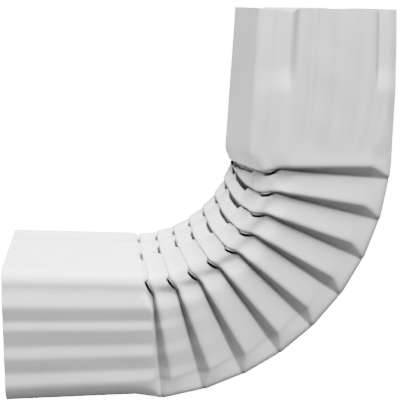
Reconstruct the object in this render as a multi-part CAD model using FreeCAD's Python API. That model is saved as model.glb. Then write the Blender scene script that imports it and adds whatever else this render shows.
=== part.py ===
import FreeCAD, Part
import math
import os

os.makedirs("parts", exist_ok=True)

# Straight legs: the tube is wider across the throat and heel faces than it is deep
face_width = 107.95
side_depth = 82.55
throat_radius = 8.0
plain_heel_radius = 14.0
pleat_heel_radius = 4.0
corner_facets = 5
sheet = 0.6
plain_leg = 92.6
crimped_leg = 97.0

# Bend: equal folds, each upper piece lapping over the one below it
bend_angle = 90.0
fold_count = 9
heel_pitch = 25.7
lip_depth = 78.7
fold_depth = 3.4
throat_fold_depth = 2.4
heel_crease = 0.4
heel_taper = 13.0
riser_heel = 7.0
riser_throat = 1.6
throat_lap = 4.0
plain_run_in = 16.0

# Last fold: the crimped leg laps further and swells above its lip
last_lap = 9.0
last_rise = 1.8
lip_flare = 1.8
lip_curl = 5.0

# Corrugations on the two narrow sides, fading out over the first pleats
groove_depth = 2.2
groove_fade = (1.0, 0.6, 0.25)
faint_groove = 0.15

# Crimped end: smaller than the plain end, with two pressed recesses on each side
end_width_loss = 2.5
end_throat_loss = 2.9
heel_bulge = 1.6
crimp_depth = 3.5
crimp_length = 48.0
crimp_run_out = 18.0
corner_crimp = 0.35

# Side points from heel to throat: place across the flat, share of groove, share of crimp
side_points = (
    (0.06, 0.57, 1.0),
    (0.092, 0.87, 0.0),
    (0.106, 1.0, 0.0),
    (0.274, 0.0, 0.0),
    (0.383, 1.0, 0.0),
    (0.568, 0.0, 0.0),
    (0.64, 1.0, 0.0),
    (0.80, 0.0, 0.0),
    (0.84, 0.0, 1.0),
)


def corner(u, v, radius, sign):
    """Points of a quarter round whose square corner is at u, v, from the flat to the side."""
    turns = [math.pi / 2 * i / corner_facets for i in range(corner_facets + 1)]
    return [
        (u - radius + radius * math.sin(t), v + sign * radius * (1 - math.cos(t))) for t in turns
    ]


def half_outline(width, low, top, radii, groove, crimp, wall):
    """One half of a section as (across, up from heel), from the heel round to the throat."""
    u = width / 2 - wall
    low += wall
    top -= wall
    heel, throat = (radius - wall for radius in radii)
    points = corner(u - corner_crimp * crimp, low, heel, 1)
    for place, in_groove, in_crimp in side_points:
        v = low + heel + place * (top - low - heel - throat)
        points.append((u - in_groove * groove - in_crimp * crimp, v))
    return points + corner(u - corner_crimp * crimp, top, throat, -1)[::-1]


def to_space(foot, heading, points, shift):
    """Place section points in the bend plane, moved along the tube by shift(v)."""
    along = FreeCAD.Vector(math.cos(heading), 0, math.sin(heading))
    up = FreeCAD.Vector(-math.sin(heading), 0, math.cos(heading))
    return [foot + up * v + along * shift(v) + FreeCAD.Vector(0, u, 0) for u, v in points]


def ring(right):
    """Closed wire of a section from its right-hand points and their mirror images."""
    left = [FreeCAD.Vector(p.x, -p.y, p.z) for p in reversed(right)]
    return Part.makePolygon(right + left + right[:1])


def piece_heading(piece):
    return math.radians(bend_angle / fold_count * piece)


def heel_foot(fold):
    """Point on the heel line of a fold, the folds being numbered from 1 at the plain leg."""
    foot = FreeCAD.Vector(plain_leg, 0, -side_depth / 2)
    for piece in range(1, fold):
        angle = piece_heading(piece)
        foot += FreeCAD.Vector(math.cos(angle), 0, math.sin(angle)) * heel_pitch
    return foot


def between(x, low, high):
    return min(max((x - low) / (high - low), 0.0), 1.0)


def opening(v, lap):
    """How far a lip stands past its valley: wide near the heel, lapped back at the throat."""
    rise = between(v, 0, heel_taper)
    side_top = lip_depth - throat_radius
    close = between(v, heel_taper, side_top)
    back = between(v, side_top, side_top + throat_radius * 0.7)
    wide = heel_crease + (riser_heel - heel_crease) * rise - (riser_heel - riser_throat) * close
    return wide - (riser_throat + lap) * back


def lean(v, lap):
    """Shift along the tube, per sheet thickness, that keeps the riser one sheet thick."""
    deep = heel_crease + (fold_depth - heel_crease) * between(v, 0, heel_taper)
    gap = opening(v, lap)
    return deep / (math.hypot(deep, gap) + gap)


def pressed_in(points):
    """Section of a valley: its sides go in, from nothing at the heel to the full fold depth."""
    return [(u - fold_depth * between(v, 0, heel_taper), v) for u, v in points]


def groove_in(piece):
    """Corrugation depth at the start of a piece, the plain leg being piece 0."""
    if piece == fold_count:
        return faint_groove * groove_depth
    return groove_fade[piece] * groove_depth if piece < len(groove_fade) else 0.0


def fold_rings(fold, wall):
    """Valley and lip rings of one fold."""
    last = fold == fold_count
    lap = last_lap if last else throat_lap
    heading = piece_heading(fold - 0.5)
    foot = heel_foot(fold)
    radii = (pleat_heel_radius, throat_radius)
    top = lip_depth + (last_rise if last else 0)
    valley = pressed_in(
        half_outline(
            face_width, heel_crease, lip_depth - throat_fold_depth, radii, groove_in(fold - 1), 0, wall
        )
    )
    lip = half_outline(face_width, 0, top, radii, groove_in(fold), 0, wall)
    rings = [(valley, lambda v: 0.0), (lip, lambda v: opening(v, lap))]
    if last:
        wide = half_outline(face_width, 0, side_depth + lip_flare, radii, groove_in(fold), 0, wall)
        rings.append((wide, lambda v: opening(v, lap) + lip_curl))

    def seat(v):
        return throat_lap / 2 * between(v, lip_depth - 2 * throat_radius, lip_depth)

    def shifted(extra):
        return lambda v: seat(v) + extra(v) + wall * lean(v, lap)

    return [to_space(foot, heading, points, shifted(extra)) for points, extra in rings]


def plain_rings(wall):
    """Rings of the plain leg, before its last run down into the first fold."""
    radii = (plain_heel_radius, throat_radius)
    foot = FreeCAD.Vector(0, 0, -side_depth / 2)
    stops = ((0.0, side_depth), (plain_leg - plain_run_in, lip_depth))
    return [
        to_space(
            foot, 0, half_outline(face_width, 0, top, radii, groove_depth, 0, wall), lambda v: x
        )
        for x, top in stops
    ]


def crimped_rings(wall):
    """Rings of the crimped leg above its lip, up to the end."""
    rings = []
    stops = ((crimp_length, 0.0), (crimp_length - crimp_run_out, crimp_depth), (0.0, crimp_depth))
    for from_end, crimp in stops:
        share = 1 - from_end / crimped_leg
        width = face_width - end_width_loss * share
        low = -4 * heel_bulge * share * (1 - share)
        top = side_depth + lip_flare - (lip_flare + end_throat_loss) * share
        radii = (throat_radius, throat_radius)
        outline = half_outline(width, low, top, radii, groove_in(fold_count), crimp, wall)
        reach = share * crimped_leg
        heading = math.radians(bend_angle)
        rings.append(to_space(heel_foot(fold_count), heading, outline, lambda v: reach))
    return rings


def skin(wall):
    """Wires of every ring from the plain end to the crimped end."""
    rings = plain_rings(wall)
    for fold in range(1, fold_count + 1):
        rings += fold_rings(fold, wall)
    return [ring(points) for points in rings + crimped_rings(wall)]


def rim(outer, inner):
    return Part.Face(outer).cut(Part.Face(inner)).Faces


def elbow():
    outer = skin(0.0)
    inner = skin(sheet)
    faces = Part.makeLoft(outer, False, True).Faces + Part.makeLoft(inner, False, True).Faces
    faces += rim(outer[0], inner[0]) + rim(outer[-1], inner[-1])
    shell = Part.makeShell(faces)
    shell.sewShape()
    solid = Part.makeSolid(shell)
    if solid.Volume < 0:
        solid.reverse()
    return solid


body = elbow()
body.exportStep("parts/elbow.step")
print("elbow", len(body.Faces), "faces", round(body.Volume), "mm3", "valid", body.isValid())
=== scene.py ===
import math
from typing import NamedTuple

import bpy
import numpy as np
from mathutils import Matrix, Vector


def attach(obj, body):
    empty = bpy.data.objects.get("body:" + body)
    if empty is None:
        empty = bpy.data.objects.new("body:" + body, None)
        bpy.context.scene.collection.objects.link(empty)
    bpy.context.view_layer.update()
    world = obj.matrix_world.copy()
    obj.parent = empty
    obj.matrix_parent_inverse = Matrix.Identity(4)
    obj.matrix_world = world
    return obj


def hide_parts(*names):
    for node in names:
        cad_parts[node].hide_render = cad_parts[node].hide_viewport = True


MM = 0.001

# Sizes of the elbow as in the CAD part, with lengths in millimetres
WIDTH = 107.95
DEPTH = 82.55
THROAT_RADIUS = 8.0
PLAIN_HEEL_RADIUS = 14.0
PLEAT_HEEL_RADIUS = 4.0
SHEET = 0.6
PLAIN_LEG = 92.6
HEEL_RUN_IN = 16.0
CRIMPED_LEG = 97.0
FOLDS = 9
FOLD_ANGLE = math.radians(10.0)
HEEL_PITCH = 25.7
LIP_DEPTH = 78.7
FOLD_DEPTH = 3.4
THROAT_FOLD_DEPTH = 2.4
HEEL_CREASE = 0.4
HEEL_TAPER = 13.0
RISER_HEEL = 7.0
RISER_THROAT = 1.6
THROAT_LAP = 4.0
LAST_LAP = 9.0
LAST_RISE = 1.8
FLARE = 1.8
END_WIDTH_LOSS = 2.5
END_THROAT_LOSS = 2.9
HEEL_BULGE = 1.6
CRIMP_LENGTH = 48.0
CORNER_CRIMP = 0.35
FAINT_GROOVE = 0.15

# Run from the plain leg down into the first fold: its length on the throat and on the side, where
# round the section it changes, and the heel radius at its start
RUN_IN = 12.0
SIDE_RUN_IN = 6.0
RUN_IN_CHANGE = (-15.0, 0.0)
RUN_IN_HEEL_RADIUS = 8.0

# Sizes in millimetres that follow the photograph more closely than the CAD part does
GROOVE = 1.25
CRIMP = 4.4
CRIMP_RUN_OUT = 17.0
CURL = 8.0
CURL_LOSS = 1.5
EDGE_DIP = 2.4
SEAM_DEPTH = 0.3
STREAK = 0.7
RIM_INSET = 0.05
# Inward lean of the side faces at the throat, and the place on the side where it sets in
THROAT_LEAN = 2.7
THROAT_LEAN_FROM = 0.76
# Inward lean at the heel, and where it ends as a share of the heel corner's height
HEEL_LEAN = 1.2
HEEL_LEAN_REACH = 1.2
# Share of the grooves that is left on the first pieces, and the most that a valley keeps
GROOVE_FADE = (1.0, 0.45, 0.15)
VALLEY_GROOVE = 0.3

# Crimped leg: share by which the crimps are shallower where they start, share of the width loss
# that is there at the lip already, and share of the length over which the leg settles
CRIMP_TAPER = 0.35
LIP_WIDTH_LOSS = 0.6
SETTLED_AT = 0.5
# Rings of the crimped leg, as shares of its length, and its rim
CRIMPED_STOPS = (0.25, 0.37, 0.49, 0.53, 0.57, 0.61, 0.66, 0.8)
CRIMPED_RIM = 0.9996

# Points taken round one half of a section, from the middle of the heel to that of the throat
COUNTS = (5, 11, 42, 12, 28)
HEEL, HEEL_CORNER, SIDE, THROAT_CORNER, THROAT = range(5)
# Further places on the side, so that the crimps come out crisp
CRIMP_PLACES = (0.052, 0.066, 0.08, 0.09, 0.797, 0.809, 0.821, 0.838)

# Side profiles from heel to throat, as (place, share of the full depth)
GROOVE_KNOTS = (
    (0.0, 0.0), (0.106, 1.0), (0.274, 0.0), (0.383, 1.0), (0.568, 0.0), (0.64, 1.0), (0.80, 0.0),
)
CRIMP_KNOTS = (
    (0.0, CORNER_CRIMP), (0.06, 1.0), (0.092, 0.0), (0.80, 0.0), (0.835, 1.0), (1.0, CORNER_CRIMP),
)
# Grid on which a profile is rounded, and the bell curve that rounds it
PROFILE_FROM = -0.2
PROFILE_TO = 1.2
PROFILE_POINTS = 561
BELL_REACH = 3.0
BELL_POINTS = 31

# Places round the section as (place, half width): the steep flanks of the crimps and a drawn line
# on the side of the crimped leg, and the crease on the throat face of the plain leg
FLANK_SPOTS = ((0.812, 0.045), (0.078, 0.025))
LINE_SPOT = (0.62, 0.02)
SEAM_SPOT = (0.46, 0.045)
# Slight drawing lines along the crimped leg: middle height, and waves as (height, pace, phase)
STREAK_MIDDLE = 0.5
STREAK_WAVES = ((0.3, 31, 0.6), (0.2, 57, 2.0))

# Lengths round the section in millimetres
SIDE_LENGTH = 62.0
CORNER_LENGTH = THROAT_RADIUS * math.pi / 2
THROAT_LENGTH = 46.0

# Opening of a fold: where it starts and is full, as shares of the heel taper, how much of its start
# is cut off, how far before the throat corner it turns back, and where in the corner that ends
OPEN_FROM = -0.35
OPEN_FULL = 1.15
OPEN_CUT = 0.08
BACK_BEFORE = 7.0
BACK_END = 0.95

# Bow of each lip but the last across the throat in millimetres, how far the bow leans to the near
# side, and how much further the last lip laps at the far side than at the near one
LIP_BOW = (0.6, 1.0, 1.6, 2.0, 2.0, 2.0, 2.2, 2.4)
BOW_SKEW = 0.4
LAST_SKEW = 10.0

# Eyes at the throat corners: centre past the side, half length, opening and depth in millimetres,
# and how sharply they end
EYE_CENTRE = 1.5
EYE_HALF = 5.6
EYE_OPEN = 2.3
EYE_PIT = 0.8
EYE_EDGE = 1.8
# Where round the section the risers of the side end, in millimetres past the side
SIDE_END = (-3.0, 4.0)
# Middle slit of each fold: place across the throat, half length, opening in millimetres
MIDDLE_SLITS = (
    (0.62, 0.12, 1.3), (0.47, 0.18, 1.7), (0.44, 0.19, 1.9), (0.45, 0.21, 2.2), (0.53, 0.28, 2.5),
    (0.60, 0.40, 2.8), (0.57, 0.40, 3.8), (0.52, 0.42, 4.4), (0.54, 0.52, 3.2),
)
# Slit near the far corner as (place, half length), how sharply slits end, and their extra depth
FAR_SLIT = (0.13, 0.11)
SLIT_EDGE = 2.5
SLIT_PIT = 0.1
# Share by which each fold stands ajar all along the throat
AJAR = (0.0, 0.0, 0.0, 0.2, 0.35, 0.4, 0.4, 0.4, 0.5)

# Rings of a fold. Groups of four are for the side, the eye, a slit and where the fold is shut.
# Depth of each ring, as a share of the fold's depth
SHOULDER_DEPTHS = (0.82, 0.25, 0.5, 0.3)
VALLEY_DEPTHS = (1.0, 1.0, 0.85, 0.6)
RISER_DEPTHS = (0.5, 0.2, 0.7, 0.45)
# How far the shoulder lies before the valley, or before the lip where shut, in millimetres
SHOULDER_BACK = (1.5, 0.8, 0.8, 0.7)
# Share of the way from lip to valley at which the riser lies on the side, at the eye, in a slit
RISER_SHARES = (0.5, 0.6, 0.4)
# How far the crease lies behind the lip at the eye and in a slit, and how far it is pushed in,
# both in millimetres
CREASE_BACK = (0.5, 0.1)
CREASE_IN = (0.0, 1.3, 0.9, 0.7)
# How far valley, riser and crease lie under the lap where the fold is shut, in millimetres
SHUT_LAPS = (2.5, 1.2, 0.2)
# Nose between crease and lip in millimetres, its largest share of the riser, and the least riser
NOSE = 1.2
NOSE_SHARE = 0.3
LEAST_RISER = 0.1

# Unevenness of the sheet in millimetres
DIMPLE = 0.55
CRUMPLE = 0.5
WAVE = 0.12
# Dimples as (place, half width) on the side and along a pleat
DIMPLE_SIDE = (0.87, 0.15)
DIMPLE_ALONG = (0.72, 0.3)
# Crumples as (height, pace, shift per fold, shift per side, times the phase), where they set in
# round the section, and the phase of the crumples along the lips
CRUMPLE_WAVES = ((1.0, 0.41, 2.3, 0.9, 1), (0.6, 0.83, 1.1, -1.7, 2))
CRUMPLE_FROM = (-20.0, 2.0)
LIP_PHASE = 1.9
# Waves of the sheet as (pace along x, y and z, phase), and the fine one's share of the broad ones
BROAD_WAVES = ((0.11, 0.0, 0.07, 1.3), (-0.05, 0.0, 0.13, 0.4))
FINE_WAVE = (0.23, 0.09, 0.19, 0.0)
FINE_SHARE = 0.6

# Painted shade, as darkness from 0 to 1, standing in for the shade in the folds. Risers near the
# heel and near the throat, and how far up each is, in millimetres, with what the valley adds
RISER_DARK = (0.42, 0.78)
RISER_DARK_AT = (10.0, 58.0)
VALLEY_DARK = 0.12
# Each fold where it is shut, with the shoulder's share, and the slit of the last fold
SHUT_DARK = (0.3, 0.3, 0.4, 0.6, 0.9, 1.0, 1.0, 1.0, 1.0)
SHOULDER_SHUT_DARK = 0.6
SHOULDER_EYE_DARK = 0.2
LAST_SLIT_DARK = 0.8
# Crease: share of the riser's darkness on the side, then at the eye and in a slit
CREASE_DARK = (0.8, 0.5, 0.9)
# Painted shade on the flanks of the crimps, along the drawn line of the crimped leg and in the
# crease of the plain leg
FLANK_DARK = 0.62
LINE_DARK = 0.16
SEAM_DARK = 0.35

# Rows of points from one ring to the next, and how rings are rounded: (cut before and after in
# millimetres, rows of the round)
LEG_STEPS = 6
HEEL_RUN_IN_STEPS = 2
RUN_IN_STEPS = 4
CRIMPED_STEPS = 2
RUN_IN_ROUND = (3.0, 3.0, 3)
CRIMPED_ROUND = (1.0, 1.0, 2)
FOLD_CUT_BEFORE = 2.5
# Cut after, rows of the round and steps to the next ring, of each ring of a fold and of the curl
FOLD_ROWS = ((0, 0, 2), (0, 0, 2), (0, 0, 2), (0, 0, 1), (2.0, 3, 7), (2.5, 3, 2))
# Largest share of the way to its neighbours that a round may take, and the least such way
MOST_BEFORE = 0.9
MOST_AFTER = 0.45
LEAST_WAY = 1e-9

# White enamel: its two greys and where on the clouds each is reached, its two roughnesses, the
# clouds that mix them, the near-black grey of the painted shade, and the fine peel of the
# surface, in metres
ENAMEL_GREYS = (0.775, 0.83)
GREY_STOPS = (0.3, 0.7)
ENAMEL_ROUGHNESS = (0.34, 0.46)
ENAMEL_SPECULAR = 0.25
CLOUD_SCALE = 28.0
CLOUD_DETAIL = 5.0
PAINTED_SHADE_GREY = 0.008
PEEL_SCALE = 420.0
PEEL_STRENGTH = 0.06
PEEL_HEIGHT = 0.0002
# Edges sharper than this are split, so that the rims stay crisp
RIM_ANGLE = math.radians(55)

# Camera found by fitting the fold corners to the photograph: focal length and the longer side of
# the picture in pixels, sensor in millimetres, place in metres, and turn from looking along +Y
FOCAL_PIXELS = 864.8
PHOTO_PIXELS = 403
SENSOR = 36.0
CLIP_START = 0.01
CAMERA_AT = (0.0544, -0.5319, 0.1921)
TURN_ANGLE = 0.25706
TURN_AXIS = (0.88127, -0.47255, -0.00747)

# Lights as name, place in metres, size, watts
LIGHTS = (
    ("top_softbox", (0.15, -0.15, 0.8), (0.6, 0.45), 24.8),
    ("front_fill", (-0.1, -1.5, 0.5), (1.6, 1.0), 11.5),
    ("over_softbox", (0.15, -0.02, 0.8), (0.6, 0.3), 18.1),
    ("back_fill", (1.5, 0.7, 0.3), (1.0, 1.0), 14.0),
)
LIGHT_AIM = (0.11, 0.0, 0.07)
WORLD_GLOW = 0.08

# Floor and the wall round it, in metres
FLOOR_RADIUS = 6.0
FLOOR_WALL = 4.0
FLOOR_GAP = 0.0002
FLOOR_SIDES = 48
FLOOR_GLOW = 16.0
FLOOR_GREY = 0.93
FLOOR_ROUGHNESS = 0.9


def smoothstep(x, low, high):
    t = np.clip((x - low) / (high - low), 0.0, 1.0)
    return t * t * (3 - 2 * t)


def bump(x, centre, half_width):
    """A smooth hill of height 1 that reaches 0 at centre +- half_width."""
    t = np.clip(1 - np.abs(x - centre) / half_width, 0.0, 1.0)
    return t * t * (3 - 2 * t)


def half_samples():
    """Region and place within it, from 0 to 1, of each point of the half section."""
    region, place = [], []
    for kind, count in enumerate(COUNTS):
        places = [i / count for i in range(count)]
        if kind == SIDE:
            places = sorted(places + list(CRIMP_PLACES))
        region += [kind] * len(places)
        place += places
    region.append(THROAT)
    place.append(1.0)
    return np.array(region), np.array(place)


REGION, PLACE = half_samples()


def soft_profile(knots):
    """A side profile, sharp where it is deepest and rounded where it is shallow."""
    fine = np.linspace(PROFILE_FROM, PROFILE_TO, PROFILE_POINTS)
    raw = np.interp(fine, [k[0] for k in knots], [k[1] for k in knots])
    bell = np.exp(-(np.linspace(-BELL_REACH, BELL_REACH, BELL_POINTS) ** 2) / 2)
    soft = np.convolve(raw, bell / bell.sum(), "same")
    share = raw ** 2
    return np.interp(PLACE, fine, share * raw + (1 - share) * soft)


def spots(region, places):
    """Hills from 0 to 1 at places in one region of the section, and 0 elsewhere."""
    return np.where(REGION == region, sum(bump(PLACE, *spot) for spot in places), 0.0)


GROOVES = soft_profile(GROOVE_KNOTS)
CRIMPS = soft_profile(CRIMP_KNOTS)
# How far the cut edge is drawn down by the crimps, as a share of its dip
EDGE_PULL = np.select(
    [REGION == SIDE, REGION == THROAT_CORNER, REGION == HEEL_CORNER],
    [CRIMPS, CORNER_CRIMP * (1 - PLACE), CORNER_CRIMP * PLACE],
    0.0,
)
FLANKS = spots(SIDE, FLANK_SPOTS)
LINE = spots(SIDE, (LINE_SPOT,))
SEAM = spots(THROAT, (SEAM_SPOT,))
STREAKS = STREAK_MIDDLE + sum(
    height * np.sin(PLACE * pace + phase) for height, pace, phase in STREAK_WAVES
)
# Angle by which the section's outward normal is turned up from that of the side
TURN = np.where(REGION == THROAT_CORNER, PLACE, np.where(REGION == THROAT, 1.0, 0.0)) * math.pi / 2
# Distance round the section from where the throat corner starts, in millimetres, with the whole
# heel at the far end of the side
PAST_SIDE = np.select(
    [REGION == SIDE, REGION == THROAT_CORNER, REGION == THROAT],
    [(PLACE - 1) * SIDE_LENGTH, PLACE * CORNER_LENGTH, CORNER_LENGTH + PLACE * THROAT_LENGTH],
    -SIDE_LENGTH,
)


def heel_corner(place, radius, side_from):
    """Quarter round and the straight above it, as (in from the side, up from the heel)."""
    arc = radius * math.pi / 2
    length = place * (arc + side_from - radius)
    turn = np.clip(length / radius, 0, math.pi / 2)
    rise = radius * (1 - np.cos(turn)) + np.clip(length - arc, 0, None)
    fade = np.clip(HEEL_LEAN_REACH - rise / side_from, 0, 1)
    lean = HEEL_LEAN * (1 - radius / side_from) * fade
    return radius * (1 - np.sin(turn)) + lean, rise


def outline(width, low, top, heel_radius, groove, crimp, side_from=PLAIN_HEEL_RADIUS):
    """Half section as arrays (across, up from the heel), its side starting side_from up."""
    half = width / 2
    corner_in = CORNER_CRIMP * crimp
    throat_in = THROAT_LEAN + corner_in
    u = np.zeros(len(PLACE))
    v = np.zeros(len(PLACE))
    m = REGION == HEEL
    u[m] = (half - corner_in - heel_radius) * PLACE[m]
    v[m] = low
    m = REGION == HEEL_CORNER
    inset, rise = heel_corner(PLACE[m], heel_radius, side_from)
    u[m] = half - corner_in - inset
    v[m] = low + rise
    m = REGION == SIDE
    lean = THROAT_LEAN * smoothstep(PLACE[m], THROAT_LEAN_FROM, 1.0)
    u[m] = half - GROOVES[m] * groove - CRIMPS[m] * crimp - lean
    v[m] = low + side_from + PLACE[m] * (top - low - side_from - THROAT_RADIUS)
    m = REGION == THROAT_CORNER
    turn = PLACE[m] * math.pi / 2
    u[m] = half - throat_in - THROAT_RADIUS * (1 - np.cos(turn))
    v[m] = top - THROAT_RADIUS * (1 - np.sin(turn))
    m = REGION == THROAT
    u[m] = (half - throat_in - THROAT_RADIUS) * (1 - PLACE[m])
    v[m] = top
    return u, v


def foot_of(fold):
    """Heel line of a fold as (x, z)."""
    x, z = PLAIN_LEG, -DEPTH / 2
    for piece in range(1, fold):
        x += HEEL_PITCH * math.cos(FOLD_ANGLE * piece)
        z += HEEL_PITCH * math.sin(FOLD_ANGLE * piece)
    return np.array([x, z])


def to_space(foot, heading, half, side):
    """Half ring (across, up, along, darkness of painted shade) put in space on one side, as N x 4.
    """
    u, v, s, dark = half
    x = foot[0] - v * math.sin(heading) + s * math.cos(heading)
    z = foot[1] + v * math.cos(heading) + s * math.sin(heading)
    return np.stack([x, side * u, z, dark], axis=1)


def whole(foot, heading, halves):
    """Closed ring from the half on +Y and the half on -Y."""
    right = to_space(foot, heading, halves[0], 1)
    left = to_space(foot, heading, halves[1], -1)
    return np.concatenate([right, left[-2:0:-1]])


def groove_share(piece):
    """Share of the grooves that is left on a piece, the plain leg being piece 0."""
    if piece == FOLDS:
        return FAINT_GROOVE
    return GROOVE_FADE[piece] if piece < len(GROOVE_FADE) else 0.0


def opening(v, lap):
    """How far a lip stands past its valley along the tube."""
    side_top = LIP_DEPTH - THROAT_RADIUS
    rise = smoothstep(v, OPEN_FROM * HEEL_TAPER, OPEN_FULL * HEEL_TAPER)
    rise = np.clip(rise * (1 + OPEN_CUT) - OPEN_CUT, 0, 1)
    close = np.clip((v - HEEL_TAPER) / (side_top - HEEL_TAPER), 0, 1)
    back = smoothstep(v, side_top - BACK_BEFORE, side_top + BACK_END * THROAT_RADIUS)
    wide = HEEL_CREASE + (RISER_HEEL - HEEL_CREASE) * rise - (RISER_HEEL - RISER_THROAT) * close
    return wide - (RISER_THROAT + lap) * back


def seat(v):
    """Shift of a fold along the tube, half a lap at the throat, so the lap lies about the fold."""
    return THROAT_LAP / 2 * smoothstep(v, LIP_DEPTH - 2 * THROAT_RADIUS, LIP_DEPTH)


def outward(amount):
    """Offset (across, up) along the section's own normal on the side and throat."""
    return np.stack([np.cos(TURN) * amount, np.sin(TURN) * amount])


def across_throat(side):
    """Place across the whole throat, 0 at the corner on +Y and 1 at the corner on -Y."""
    half = np.where(REGION == THROAT, (1 - PLACE) * 0.5, 0.5)
    return 0.5 - side * half


def slit_share(fold, side):
    """Share by which a fold stands open along the flat of the throat, 0 closed and 1 open."""
    along = across_throat(side)
    centre, half, _ = MIDDLE_SLITS[fold - 1]
    share = np.maximum(bump(along, centre, half), bump(along, *FAR_SLIT))
    share = np.maximum(np.clip(share * SLIT_EDGE, 0, 1), AJAR[fold - 1])
    return np.where(REGION == THROAT, share, 0.0)


def lap_of(fold, side):
    """Lap of a lip over the fold before it: bowed across the throat, and askew on the last fold."""
    along = across_throat(side)
    if fold == FOLDS:
        return LAST_LAP + LAST_SKEW * (0.5 - along)
    bow = np.sin(math.pi * along) * (1 - BOW_SKEW + BOW_SKEW * along)
    return THROAT_LAP + LIP_BOW[fold - 1] * bow


def crumple(fold, side, phase):
    """How far the sheet is pushed in round the throat, uneven from fold to fold."""
    wave = sum(
        height * np.sin(PAST_SIDE * pace + fold * per_fold + side * per_side + times * phase)
        for height, pace, per_fold, per_side, times in CRUMPLE_WAVES
    )
    highest = sum(height for height, *_ in CRUMPLE_WAVES)
    return CRUMPLE * (highest + wave) / (2 * highest) * smoothstep(PAST_SIDE, *CRUMPLE_FROM)


def spot_weights(fold, side):
    """Shares of the side, the eye, a slit and the shut fold at each point, 1 in all."""
    eye = np.clip(bump(PAST_SIDE, EYE_CENTRE, EYE_HALF) * EYE_EDGE, 0, 1)
    on_side = 1 - smoothstep(PAST_SIDE, *SIDE_END)
    slit = slit_share(fold, side)
    on_throat = (1 - eye) * (1 - on_side)
    return (1 - eye) * on_side, eye, on_throat * slit, on_throat * (1 - slit)


def fold_outlines(fold):
    """Sections of a fold's valley and lip, each (across, up from the heel)."""
    before = GROOVE * min(groove_share(fold - 1), VALLEY_GROOVE)
    after = GROOVE * groove_share(fold)
    throat = LIP_DEPTH - THROAT_FOLD_DEPTH
    top = LIP_DEPTH + (LAST_RISE if fold == FOLDS else 0)
    inner = np.stack(outline(WIDTH, HEEL_CREASE, throat, PLEAT_HEEL_RADIUS, before, 0))
    inner[0] -= FOLD_DEPTH * np.clip(inner[1] / HEEL_TAPER, 0, 1)
    outer = np.stack(outline(WIDTH, 0, top, PLEAT_HEEL_RADIUS, after, 0))
    return inner, outer


def curl_half(lip_at):
    """Half ring where the crimped leg is widest, a little above the last lip."""
    groove = GROOVE * FAINT_GROOVE
    across, up = outline(WIDTH - CURL_LOSS, 0, DEPTH + FLARE, PLEAT_HEEL_RADIUS, groove, 0)
    return np.stack([across, up, lip_at + CURL, np.zeros(len(PLACE))])


def fold_halves(fold, side):
    """Shoulder, valley, riser, crease and lip of a fold, and the curl past the last lip.

    Each is a half ring of (across, up, along, darkness of painted shade).
    """
    inner, outer = fold_outlines(fold)
    foot = seat(inner[1])
    lip_at = seat(outer[1]) + opening(outer[1], lap_of(fold, side))
    eye_at = lip_at - EYE_OPEN
    slit_open = MIDDLE_SLITS[fold - 1][2]
    slit_at = lip_at - slit_open
    # Painted shade on the valleys, risers, creases, eyes, slits and shut folds
    slit_dark = LAST_SLIT_DARK if fold == FOLDS else 1.0
    shut_dark = SHUT_DARK[fold - 1]
    riser_dark = np.interp(outer[1], RISER_DARK_AT, RISER_DARK)
    riser_length = np.hypot(lip_at - foot, outer[0] - inner[0]) + LEAST_RISER
    nose = np.minimum(NOSE, NOSE_SHARE * riser_length) / riser_length
    weights = spot_weights(fold, side)

    def blend(values):
        return sum(w * value for w, value in zip(weights, values))

    def ring(depths, pushes, places, darks):
        """A ring from its values on the side, at the eye, in a slit and where the fold is shut."""
        spot = outer + (inner - outer) * blend(depths) + outward(-blend(pushes))
        return np.concatenate([spot, [blend(places), blend(darks)]])

    before_side, before_eye, before_slit, before_lip = SHOULDER_BACK
    shoulder = ring(
        SHOULDER_DEPTHS,
        (crumple(fold, side, 0.0),) * 4,
        (foot - before_side, eye_at - before_eye, slit_at - before_slit, lip_at - before_lip),
        (0.0, SHOULDER_EYE_DARK, 0.0, SHOULDER_SHUT_DARK * shut_dark),
    )
    valley = ring(
        VALLEY_DEPTHS,
        (0.0, EYE_PIT, SLIT_PIT, 0.0),
        (foot, eye_at, slit_at, lip_at + SHUT_LAPS[0]),
        (riser_dark + VALLEY_DARK, 1.0, slit_dark, shut_dark),
    )
    on_side, at_eye, in_slit = RISER_SHARES
    riser = ring(
        RISER_DEPTHS,
        (0.0,) * 4,
        (
            lip_at + on_side * (foot - lip_at),
            lip_at - at_eye * EYE_OPEN,
            lip_at - in_slit * slit_open,
            lip_at + SHUT_LAPS[1],
        ),
        (riser_dark, 1.0, slit_dark, shut_dark),
    )
    behind_eye, behind_slit = CREASE_BACK
    side_dark, eye_dark, crease_slit_dark = CREASE_DARK
    crease = ring(
        (nose, 0.0, 0.0, 0.0),
        CREASE_IN,
        (
            lip_at + nose * (foot - lip_at),
            lip_at - behind_eye,
            lip_at - behind_slit,
            lip_at + SHUT_LAPS[2],
        ),
        (side_dark * riser_dark, eye_dark, crease_slit_dark, shut_dark),
    )
    lip = ring((0.0,) * 4, (crumple(fold, side, LIP_PHASE),) * 4, (lip_at,) * 4, (0.0,) * 4)
    if fold < FOLDS:
        return shoulder, valley, riser, crease, lip
    return shoulder, valley, riser, crease, lip, curl_half(lip_at)


def plain_ring(half, reach):
    """Ring of the plain leg, with the crease along its far half, shallow and darkened by painted
    shade.
    """
    flat = np.zeros(len(PLACE))
    near = np.stack([*half, flat + reach, flat])
    # Painted shade along the crease
    far = near + np.stack([flat, -SEAM_DEPTH * SEAM, flat, SEAM_DARK * SEAM])
    return whole(np.array([0.0, -DEPTH / 2]), 0.0, (far, near))


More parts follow.
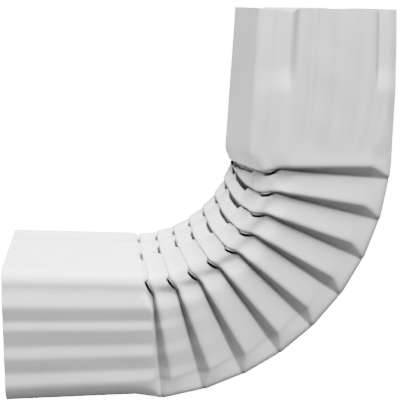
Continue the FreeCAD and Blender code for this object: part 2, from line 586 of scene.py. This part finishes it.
def crimped_ring(share):
    """Ring of the crimped leg at a share of its length."""
    from_end = CRIMPED_LEG * (1 - share)
    deep = 1 - smoothstep(from_end, CRIMP_LENGTH - CRIMP_RUN_OUT, CRIMP_LENGTH)
    deep *= 1 - CRIMP_TAPER * from_end / CRIMP_LENGTH
    width = WIDTH - END_WIDTH_LOSS * (LIP_WIDTH_LOSS + (1 - LIP_WIDTH_LOSS) * share)
    low = -4 * HEEL_BULGE * share * (1 - share)
    top = DEPTH + FLARE - (FLARE + END_THROAT_LOSS) * share
    settled = smoothstep(share, 0.0, SETTLED_AT)
    radius = PLEAT_HEEL_RADIUS + (THROAT_RADIUS - PLEAT_HEEL_RADIUS) * settled
    side_from = PLAIN_HEEL_RADIUS + (THROAT_RADIUS - PLAIN_HEEL_RADIUS) * settled
    u, v = outline(width, low, top, radius, GROOVE * FAINT_GROOVE, CRIMP * deep, side_from)
    u -= np.where(REGION == SIDE, STREAK * STREAKS * settled, 0.0)
    pull = EDGE_PULL * EDGE_DIP * (1 - smoothstep(from_end, 0.0, CRIMP_RUN_OUT))
    # Painted shade on the steep flanks of the crimps and along the drawn line
    dark = FLANKS * FLANK_DARK * deep + LINE * LINE_DARK * settled
    half = np.stack([u, v, share * CRIMPED_LEG - pull, dark])
    return whole(foot_of(FOLDS), math.pi / 2, (half, half))


class Stop(NamedTuple):
    """A ring along the tube, the rows to the next one, and how it is rounded."""

    ring: np.ndarray
    piece: int
    steps: int
    cut_before: float = 0.0
    cut_after: float = 0.0
    round_rows: int = 0


def plain_stops():
    """Stops of the plain leg: its rim, where its heel corners start to sharpen, and its run-in."""
    leg = outline(WIDTH, 0, DEPTH, PLAIN_HEEL_RADIUS, GROOVE, 0)
    rim = Stop(plain_ring(leg, RIM_INSET), 0, LEG_STEPS)
    reach = PLAIN_LEG - HEEL_RUN_IN
    top = DEPTH + (LIP_DEPTH - DEPTH) * reach / (PLAIN_LEG - RUN_IN)
    leg = outline(WIDTH, 0, top, PLAIN_HEEL_RADIUS, GROOVE, 0)
    sharpen = Stop(plain_ring(leg, reach), 0, HEEL_RUN_IN_STEPS)
    leg = outline(WIDTH, 0, LIP_DEPTH, RUN_IN_HEEL_RADIUS, GROOVE, 0)
    run_in = SIDE_RUN_IN + (RUN_IN - SIDE_RUN_IN) * smoothstep(PAST_SIDE, *RUN_IN_CHANGE)
    return [rim, sharpen, Stop(plain_ring(leg, PLAIN_LEG - run_in), 0, RUN_IN_STEPS, *RUN_IN_ROUND)]


def fold_stops(fold):
    """Stops of one fold, at the heading halfway between the pieces that it joins."""
    sides = [fold_halves(fold, side) for side in (1, -1)]
    stops = []
    for halves, (cut, rows, steps) in zip(zip(*sides), FOLD_ROWS):
        ring = whole(foot_of(fold), FOLD_ANGLE * (fold - 0.5), halves)
        stops.append(Stop(ring, fold, steps, FOLD_CUT_BEFORE, cut, rows))
    return stops


def path_stops():
    """All stops from the plain end to the crimped end."""
    path = plain_stops()
    for fold in range(1, FOLDS + 1):
        path += fold_stops(fold)
    for share in CRIMPED_STOPS:
        path.append(Stop(crimped_ring(share), FOLDS, CRIMPED_STEPS, *CRIMPED_ROUND))
    path.append(Stop(crimped_ring(CRIMPED_RIM), FOLDS, CRIMPED_STEPS))
    return path


def reach_of(steps):
    """Length in space of each row of (x, y, z, darkness) steps, as a column."""
    return np.linalg.norm(steps[:, :3], axis=1)[:, None] + LEAST_WAY


def fine_rows(path):
    """Rows of points along the tube, with the folds rounded, and the piece of each row."""
    rows, pieces = [path[0].ring], [0]
    for k in range(1, len(path)):
        before = path[k - 1]
        stop = path[k]
        ring = start = end = stop.ring
        if stop.round_rows:
            back = before.ring - ring
            ahead = path[k + 1].ring - ring
            start = ring + back * np.minimum(stop.cut_before / reach_of(back), MOST_BEFORE)
            end = ring + ahead * np.minimum(stop.cut_after / reach_of(ahead), MOST_AFTER)
        last = rows[-1]
        for i in range(1, before.steps + 1):
            rows.append(last + (start - last) * i / before.steps)
            pieces.append(before.piece)
        for i in range(1, stop.round_rows + 1):
            t = i / stop.round_rows
            rows.append((1 - t) ** 2 * start + 2 * t * (1 - t) * ring + t * t * end)
            pieces.append(stop.piece)
    return np.array(rows), np.array(pieces)


def dimples(rows, pieces):
    """Hollows pressed into the sides of the pleats just under each throat corner."""
    spot = spots(SIDE, (DIMPLE_SIDE,))
    spot = np.concatenate([spot, -spot[-2:0:-1]])
    for piece in range(1, FOLDS):
        at = np.flatnonzero(pieces == piece)
        along = bump(np.linspace(0, 1, len(at)), *DIMPLE_ALONG) * DIMPLE
        rows[at, :, 1] -= along[:, None] * spot
    return rows


def ripple(rows, wave):
    """Height of a wave at each point of the rows."""
    return np.sin(rows[..., :3] @ np.array(wave[:3]) + wave[3])


def sheet_waves(rows):
    """Slight unevenness of the pressed sheet, always inwards so the part keeps its size."""
    wave = ripple(rows, BROAD_WAVES[0]) * ripple(rows, BROAD_WAVES[1])
    wave += FINE_SHARE * ripple(rows, FINE_WAVE)
    rows[..., 1] -= WAVE * (1 + FINE_SHARE + wave) * rows[..., 1] / (WIDTH / 2)
    return rows


def grid_mesh(name, rows):
    """Mesh of a closed-round grid of rows, its faces turned outwards, with the darkness of its
    painted shade stored on it.
    """
    n_rows, n_round = rows.shape[:2]
    index = np.arange(n_rows * n_round).reshape(n_rows, n_round)
    low = index[:-1]
    high = index[1:]
    corners = [low, np.roll(low, -1, 1), np.roll(high, -1, 1), high]
    quads = np.stack(corners, axis=-1).reshape(-1, 4)
    mesh = bpy.data.meshes.new(name)
    mesh.from_pydata((rows[..., :3].reshape(-1, 3) * MM).tolist(), [], quads.tolist())
    mesh.polygons.foreach_set("use_smooth", [True] * len(mesh.polygons))
    # Painted shade: the darkness of each point, passed to the material as a point attribute
    painted_shade = mesh.attributes.new("painted_shade", "FLOAT", "POINT")
    painted_shade.data.foreach_set("value", rows[..., 3].ravel())
    mesh.update()
    return mesh


def grey(value):
    return value, value, value, 1


def white_enamel():
    """Baked satin enamel, a little uneven, darkened towards near black by painted shade in the
    folds and hollows.
    """
    material = bpy.data.materials.new("white_enamel")
    material.use_nodes = True
    nodes = material.node_tree.nodes
    link = material.node_tree.links.new
    shader = nodes["Principled BSDF"]
    shader.inputs["Specular IOR Level"].default_value = ENAMEL_SPECULAR
    shader.inputs["Metallic"].default_value = 0.0
    painted_shade = nodes.new("ShaderNodeAttribute")
    painted_shade.attribute_name = "painted_shade"
    place = nodes.new("ShaderNodeTexCoord")
    clouds = nodes.new("ShaderNodeTexNoise")
    clouds.inputs["Scale"].default_value = CLOUD_SCALE
    clouds.inputs["Detail"].default_value = CLOUD_DETAIL
    link(place.outputs["Object"], clouds.inputs["Vector"])
    tint = nodes.new("ShaderNodeValToRGB")
    for element, stop, value in zip(tint.color_ramp.elements, GREY_STOPS, ENAMEL_GREYS):
        element.position = stop
        element.color = grey(value)
    link(clouds.outputs["Fac"], tint.inputs["Fac"])
    # Painted shade: mixes the enamel towards near black where the attribute is high
    mix = nodes.new("ShaderNodeMix")
    mix.data_type = "RGBA"
    link(painted_shade.outputs["Fac"], mix.inputs["Factor"])
    link(tint.outputs["Color"], mix.inputs["A"])
    mix.inputs["B"].default_value = grey(PAINTED_SHADE_GREY)
    link(mix.outputs["Result"], shader.inputs["Base Color"])
    gloss = nodes.new("ShaderNodeMapRange")
    gloss.inputs["To Min"].default_value = ENAMEL_ROUGHNESS[0]
    gloss.inputs["To Max"].default_value = ENAMEL_ROUGHNESS[1]
    link(clouds.outputs["Fac"], gloss.inputs["Value"])
    link(gloss.outputs["Result"], shader.inputs["Roughness"])
    peel = nodes.new("ShaderNodeTexNoise")
    peel.inputs["Scale"].default_value = PEEL_SCALE
    link(place.outputs["Object"], peel.inputs["Vector"])
    orange_peel = nodes.new("ShaderNodeBump")
    orange_peel.inputs["Strength"].default_value = PEEL_STRENGTH
    orange_peel.inputs["Distance"].default_value = PEEL_HEIGHT
    link(peel.outputs["Fac"], orange_peel.inputs["Height"])
    link(orange_peel.outputs["Normal"], shader.inputs["Normal"])
    return material


def build_elbow():
    rows, pieces = fine_rows(path_stops())
    rows = sheet_waves(dimples(rows, pieces))
    elbow = bpy.data.objects.new("pleated_elbow", grid_mesh("pleated_elbow", rows))
    bpy.context.collection.objects.link(elbow)
    elbow.data.materials.append(white_enamel())
    wall = elbow.modifiers.new("wall", "SOLIDIFY")
    wall.thickness = SHEET * MM
    wall.offset = -1
    split = elbow.modifiers.new("crisp_rims", "EDGE_SPLIT")
    split.split_angle = RIM_ANGLE
    return elbow


def build_floor():
    """Round pale floor with a far wall all round, whose glow doesn't light the elbow."""
    floor_z = -DEPTH / 2 * MM - FLOOR_GAP
    points, faces = [], []
    for height in (floor_z, FLOOR_WALL):
        for i in range(FLOOR_SIDES):
            turn = 2 * math.pi * i / FLOOR_SIDES
            points.append((FLOOR_RADIUS * math.cos(turn), FLOOR_RADIUS * math.sin(turn), height))
    faces.append(tuple(range(FLOOR_SIDES)))
    for i in range(FLOOR_SIDES):
        j = (i + 1) % FLOOR_SIDES
        faces.append((i, i + FLOOR_SIDES, j + FLOOR_SIDES, j))
    mesh = bpy.data.meshes.new("floor")
    mesh.from_pydata(points, [], faces)
    floor = bpy.data.objects.new("floor", mesh)
    bpy.context.collection.objects.link(floor)
    pale = bpy.data.materials.new("pale_floor")
    pale.use_nodes = True
    shader = pale.node_tree.nodes["Principled BSDF"]
    shader.inputs["Base Color"].default_value = grey(FLOOR_GREY)
    shader.inputs["Roughness"].default_value = FLOOR_ROUGHNESS
    shader.inputs["Emission Color"].default_value = grey(1)
    shader.inputs["Emission Strength"].default_value = FLOOR_GLOW
    mesh.materials.append(pale)
    floor.visible_diffuse = False
    floor.visible_glossy = False
    return floor


def area_light(name, where, size, watts):
    light = bpy.data.lights.new(name, "AREA")
    light.shape = "RECTANGLE"
    light.size, light.size_y = size
    light.energy = watts
    lamp = bpy.data.objects.new(name, light)
    bpy.context.collection.objects.link(lamp)
    lamp.location = where
    lamp.rotation_euler = (Vector(LIGHT_AIM) - Vector(where)).to_track_quat("-Z", "Y").to_euler()


def build_lights():
    for light in LIGHTS:
        area_light(*light)
    world = bpy.context.scene.world or bpy.data.worlds.new("studio")
    bpy.context.scene.world = world
    world.use_nodes = True
    background = world.node_tree.nodes["Background"]
    background.inputs["Color"].default_value = grey(1)
    background.inputs["Strength"].default_value = WORLD_GLOW


def build_camera():
    data = bpy.data.cameras.new("camera")
    data.sensor_width = SENSOR
    data.lens = FOCAL_PIXELS / PHOTO_PIXELS * SENSOR
    data.clip_start = CLIP_START
    camera = bpy.data.objects.new("camera", data)
    bpy.context.collection.objects.link(camera)
    turn = Matrix.Rotation(TURN_ANGLE, 3, Vector(TURN_AXIS))
    base = Matrix(((1, 0, 0), (0, 0, -1), (0, 1, 0)))
    rows = turn @ base
    axes = Matrix((rows[0], -rows[1], -rows[2])).transposed()
    camera.matrix_world = Matrix.Translation(Vector(CAMERA_AT)) @ axes.to_4x4()
    bpy.context.scene.camera = camera


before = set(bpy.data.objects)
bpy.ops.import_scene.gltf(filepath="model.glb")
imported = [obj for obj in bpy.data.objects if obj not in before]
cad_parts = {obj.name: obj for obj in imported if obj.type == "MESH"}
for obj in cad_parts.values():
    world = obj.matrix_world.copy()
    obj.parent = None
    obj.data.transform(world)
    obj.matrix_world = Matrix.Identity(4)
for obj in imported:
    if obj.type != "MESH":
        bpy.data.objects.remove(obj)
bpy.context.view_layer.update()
elbow = build_elbow()
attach(elbow, "root")
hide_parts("elbow")
build_floor()
build_lights()
build_camera()
